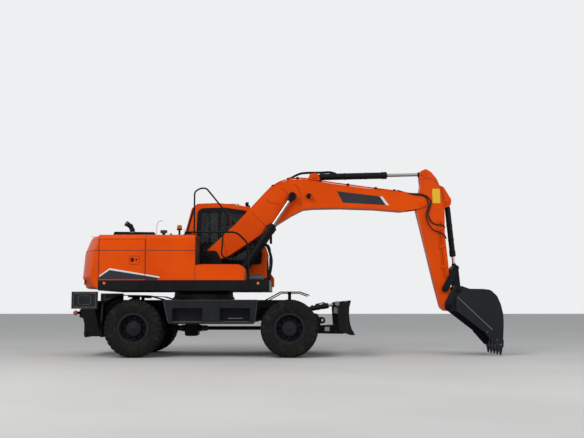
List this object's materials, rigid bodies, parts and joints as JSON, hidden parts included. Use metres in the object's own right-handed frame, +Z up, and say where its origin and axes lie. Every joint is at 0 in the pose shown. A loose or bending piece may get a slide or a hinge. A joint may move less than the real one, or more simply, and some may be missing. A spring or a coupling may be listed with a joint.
{
  "type": "wheeled excavator",
  "caption": "Wheeled excavator with twin tyres, a revolving upper body and cab, a boom, arm and bucket on hydraulic cylinders, a front blade and rear outriggers.",
  "frame": {"origin": "on the ground under the middle of the machine's bounding box, as parked with its bucket on the ground", "axes": "+X forward to the bucket, +Y to the machine's left, +Z up"},
  "size_m": [7.9094, 2.509, 3.5589],
  "materials": {
    "orange_paint": "gloss orange paint",
    "dark_paint": "satin charcoal paint",
    "black_paint": "satin black paint",
    "rod_chrome": "bright chrome",
    "tyre_rubber": "matt tread rubber",
    "pane_glass": "lightly tinted glass",
    "bare_iron": "dull iron",
    "red_lens": "red lens",
    "amber_lens": "amber lens",
    "seat_fabric": "dark cloth"
  },
  "bodies": {
    "chassis": {"chassis_frame": "dark_paint", "slew_ring": "bare_iron", "front_axle": "black_paint", "rear_axle": "black_paint", "driveline": "black_paint", "step_boxes": "dark_paint", "fenders": "black_paint", "tail_lamps": "red_lens"},
    "upper": {"upper_frame": "black_paint", "counterweight": "orange_paint", "engine": "bare_iron", "engine_housing": "orange_paint", "tool_box": "orange_paint", "cab_shell": "orange_paint", "cab_glass": "pane_glass", "front_cover": "orange_paint", "seat": "seat_fabric", "console": "dark_paint", "handrails": "black_paint", "mirrors": "black_paint", "exhaust": "black_paint", "lamps": "amber_lens"},
    "boom": {"boom": "orange_paint"},
    "boom_barrels": {"boom_barrels": "black_paint"},
    "boom_rods": {"boom_rods": "rod_chrome"},
    "arm": {"arm": "orange_paint"},
    "arm_barrel": {"arm_barrel": "black_paint"},
    "arm_rod": {"arm_rod": "rod_chrome"},
    "bucket": {"bucket": "dark_paint"},
    "bucket_barrel": {"bucket_barrel": "black_paint"},
    "bucket_rod": {"bucket_rod": "rod_chrome"},
    "guide_links": {"guide_links": "black_paint"},
    "bucket_link": {"bucket_link": "black_paint"},
    "cab_door": {"cab_door": "orange_paint", "cab_door_glass": "pane_glass"},
    "side_door_left": {"side_door_left": "orange_paint", "door_grille": "black_paint"},
    "side_door_right": {"side_door_right": "orange_paint"},
    "hood_lid": {"hood_lid": "black_paint"},
    "tool_box_lid": {"tool_box_lid": "orange_paint"},
    "knuckle_left": {"knuckle_left": "black_paint"},
    "knuckle_right": {"knuckle_right": "black_paint"},
    "blade": {"blade": "black_paint"},
    "blade_barrels": {"blade_barrels": "black_paint"},
    "blade_rods": {"blade_rods": "rod_chrome"},
    "outrigger_left": {"outrigger_left": "dark_paint"},
    "outrigger_right": {"outrigger_right": "dark_paint"},
    "leg_barrel_left": {"leg_barrel_left": "black_paint"},
    "leg_barrel_right": {"leg_barrel_right": "black_paint"},
    "leg_rod_left": {"leg_rod_left": "rod_chrome"},
    "leg_rod_right": {"leg_rod_right": "rod_chrome"},
    "front_wheels_left": {"rim_front_left": "dark_paint", "tyres_front_left": "tyre_rubber"},
    "front_wheels_right": {"rim_front_right": "dark_paint", "tyres_front_right": "tyre_rubber"},
    "rear_wheels_left": {"rim_rear_left": "dark_paint", "tyres_rear_left": "tyre_rubber"},
    "rear_wheels_right": {"rim_rear_right": "dark_paint", "tyres_rear_right": "tyre_rubber"}
  },
  "joints": [
    {"name": "swing", "type": "hinge", "parent": "chassis", "child": "upper", "pos_m": [-1.67534, 0, 1.135], "axis": [0, 0, 1], "continuous": true},
    {"name": "boom_lift", "type": "hinge", "parent": "upper", "child": "boom", "pos_m": [-1.54634, 0, 1.866], "axis": [0, -1, 0], "range_deg": [-36, 45]},
    {"name": "boom_cylinders_tilt", "type": "hinge", "parent": "upper", "child": "boom_barrels", "pos_m": [-1.00334, 0, 1.47], "axis": [0, -1, 0], "range_deg": [-35.11, 43.76]},
    {"name": "boom_cylinders_stroke", "type": "slide", "parent": "boom_barrels", "child": "boom_rods", "axis": [0.5552, 0, 0.8317], "range_m": [-0.40018, 0.49923]},
    {"name": "arm_swing", "type": "hinge", "parent": "boom", "child": "arm", "pos_m": [2.52712, 0, 2.88918], "axis": [0, 1, 0], "range_deg": [-56, 50]},
    {"name": "arm_cylinder_tilt", "type": "hinge", "parent": "boom", "child": "arm_barrel", "pos_m": [0.45503, 0, 3.42143], "axis": [0, -1, 0], "range_deg": [-1.15, 1.23]},
    {"name": "arm_cylinder_stroke", "type": "slide", "parent": "arm_barrel", "child": "arm_rod", "axis": [0.9997, 0, 0.0243], "range_m": [-0.49376, 0.44129]},
    {"name": "bucket_curl", "type": "hinge", "parent": "arm", "child": "bucket", "pos_m": [3.00634, 0, 0.90833], "axis": [0, 1, 0], "range_deg": [-5, 140]},
    {"name": "bucket_cylinder_tilt", "type": "hinge", "parent": "arm", "child": "bucket_barrel", "pos_m": [3.03309, 0, 2.92414], "axis": [0, -1, 0], "range_deg": [-0.74, 7.14]},
    {"name": "bucket_cylinder_stroke", "type": "slide", "parent": "bucket_barrel", "child": "bucket_rod", "axis": [0.0938, 0, -0.9956], "range_m": [-0.03199, 0.78764]},
    {"name": "guide_links_turn", "type": "hinge", "parent": "arm", "child": "guide_links", "pos_m": [2.94462, 0, 1.24423], "axis": [0, 1, 0], "range_deg": [-4.58, 114.8]},
    {"name": "bucket_link_turn", "type": "hinge", "parent": "bucket", "child": "bucket_link", "pos_m": [3.18776, 0, 1.22589], "axis": [0, 1, 0], "range_deg": [-116.91, 4.66]},
    {"name": "cab_door_hinge", "type": "hinge", "parent": "upper", "child": "cab_door", "pos_m": [-1.42534, 1.2405, 2.1], "axis": [0, 0, 1], "range_deg": [0, 165]},
    {"name": "side_door_left_hinge", "type": "hinge", "parent": "upper", "child": "side_door_left", "pos_m": [-3.44034, 1.2405, 1.76], "axis": [0, 0, 1], "range_deg": [0, 110]},
    {"name": "side_door_right_hinge", "type": "hinge", "parent": "upper", "child": "side_door_right", "pos_m": [-3.44034, -1.2405, 1.76], "axis": [0, 0, -1], "range_deg": [0, 110]},
    {"name": "hood_lid_hinge", "type": "hinge", "parent": "upper", "child": "hood_lid", "pos_m": [-3.36534, 0.1, 2.2195], "axis": [0, -1, 0], "range_deg": [0, 60]},
    {"name": "tool_box_hinge", "type": "hinge", "parent": "upper", "child": "tool_box_lid", "pos_m": [-1.70334, -0.83, 1.665], "axis": [0, -1, 0], "range_deg": [0, 80]},
    {"name": "steer_left", "type": "hinge", "parent": "chassis", "child": "knuckle_left", "pos_m": [-0.02534, 0.7, 0.52], "axis": [0, 0, 1], "range_deg": [-28, 28]},
    {"name": "steer_right", "type": "hinge", "parent": "chassis", "child": "knuckle_right", "pos_m": [-0.02534, -0.7, 0.52], "axis": [0, 0, 1], "range_deg": [-28, 28]},
    {"name": "front_wheels_left_spin", "type": "hinge", "parent": "knuckle_left", "child": "front_wheels_left", "pos_m": [-0.02534, 0.947, 0.52], "axis": [0, 1, 0], "continuous": true},
    {"name": "rear_wheels_left_spin", "type": "hinge", "parent": "chassis", "child": "rear_wheels_left", "pos_m": [-2.82534, 0.947, 0.52], "axis": [0, 1, 0], "continuous": true},
    {"name": "front_wheels_right_spin", "type": "hinge", "parent": "knuckle_right", "child": "front_wheels_right", "pos_m": [-0.02534, -0.947, 0.52], "axis": [0, 1, 0], "continuous": true},
    {"name": "rear_wheels_right_spin", "type": "hinge", "parent": "chassis", "child": "rear_wheels_right", "pos_m": [-2.82534, -0.947, 0.52], "axis": [0, 1, 0], "continuous": true},
    {"name": "blade_lift", "type": "hinge", "parent": "chassis", "child": "blade", "pos_m": [0.48866, 0, 0.47], "axis": [0, -1, 0], "range_deg": [-22, 2]},
    {"name": "blade_cylinders_tilt", "type": "hinge", "parent": "chassis", "child": "blade_barrels", "pos_m": [0.28466, 0, 0.85], "axis": [0, -1, 0], "range_deg": [-16.69, 1.97]},
    {"name": "blade_cylinders_stroke", "type": "slide", "parent": "blade_barrels", "child": "blade_rods", "axis": [0.983, 0, 0.1835], "range_m": [-0.01768, 0.15446]},
    {"name": "outrigger_left_lower", "type": "hinge", "parent": "chassis", "child": "outrigger_left", "pos_m": [-3.68034, 0.43, 0.42], "axis": [-1, 0, 0], "range_deg": [0, 62]},
    {"name": "outrigger_cylinder_left_tilt", "type": "hinge", "parent": "chassis", "child": "leg_barrel_left", "pos_m": [-3.68034, 0.15, 0.93], "axis": [1, 0, 0], "range_deg": [-13.08, 0.5]},
    {"name": "outrigger_cylinder_left_stroke", "type": "slide", "parent": "leg_barrel_left", "child": "leg_rod_left", "axis": [0, 0.871, -0.4913], "range_m": [-0.004, 0.29517]},
    {"name": "outrigger_right_lower", "type": "hinge", "parent": "chassis", "child": "outrigger_right", "pos_m": [-3.68034, -0.43, 0.42], "axis": [1, 0, 0], "range_deg": [0, 62]},
    {"name": "outrigger_cylinder_right_tilt", "type": "hinge", "parent": "chassis", "child": "leg_barrel_right", "pos_m": [-3.68034, -0.15, 0.93], "axis": [-1, 0, 0], "range_deg": [-13.08, 0.5]},
    {"name": "outrigger_cylinder_right_stroke", "type": "slide", "parent": "leg_barrel_right", "child": "leg_rod_right", "axis": [0, -0.871, -0.4913], "range_m": [-0.004, 0.29517]}
  ],
  "couplings": [
    {"joint": "boom_cylinders_tilt", "follows": "boom_lift", "ratio": 0.96129},
    {"joint": "boom_cylinders_stroke", "follows": "boom_lift", "m_per_rad": 0.63055},
    {"joint": "arm_cylinder_tilt", "follows": "arm_swing", "ratio": -0.013087},
    {"joint": "arm_cylinder_stroke", "follows": "arm_swing", "m_per_rad": 0.5011},
    {"joint": "bucket_cylinder_tilt", "follows": "bucket_curl", "ratio": 0.04745},
    {"joint": "bucket_cylinder_stroke", "follows": "bucket_curl", "m_per_rad": 0.32071},
    {"joint": "guide_links_turn", "follows": "bucket_curl", "ratio": 0.81646},
    {"joint": "bucket_link_turn", "follows": "bucket_curl", "ratio": -0.83153},
    {"joint": "steer_right", "follows": "steer_left", "ratio": 1},
    {"joint": "blade_cylinders_tilt", "follows": "blade_lift", "ratio": 0.73607},
    {"joint": "blade_cylinders_stroke", "follows": "blade_lift", "m_per_rad": -0.39184},
    {"joint": "outrigger_cylinder_left_tilt", "follows": "outrigger_left_lower", "ratio": -0.20293},
    {"joint": "outrigger_cylinder_left_stroke", "follows": "outrigger_left_lower", "m_per_rad": 0.26908},
    {"joint": "outrigger_cylinder_right_tilt", "follows": "outrigger_right_lower", "ratio": -0.20293},
    {"joint": "outrigger_cylinder_right_stroke", "follows": "outrigger_right_lower", "m_per_rad": 0.26908}
  ]
}
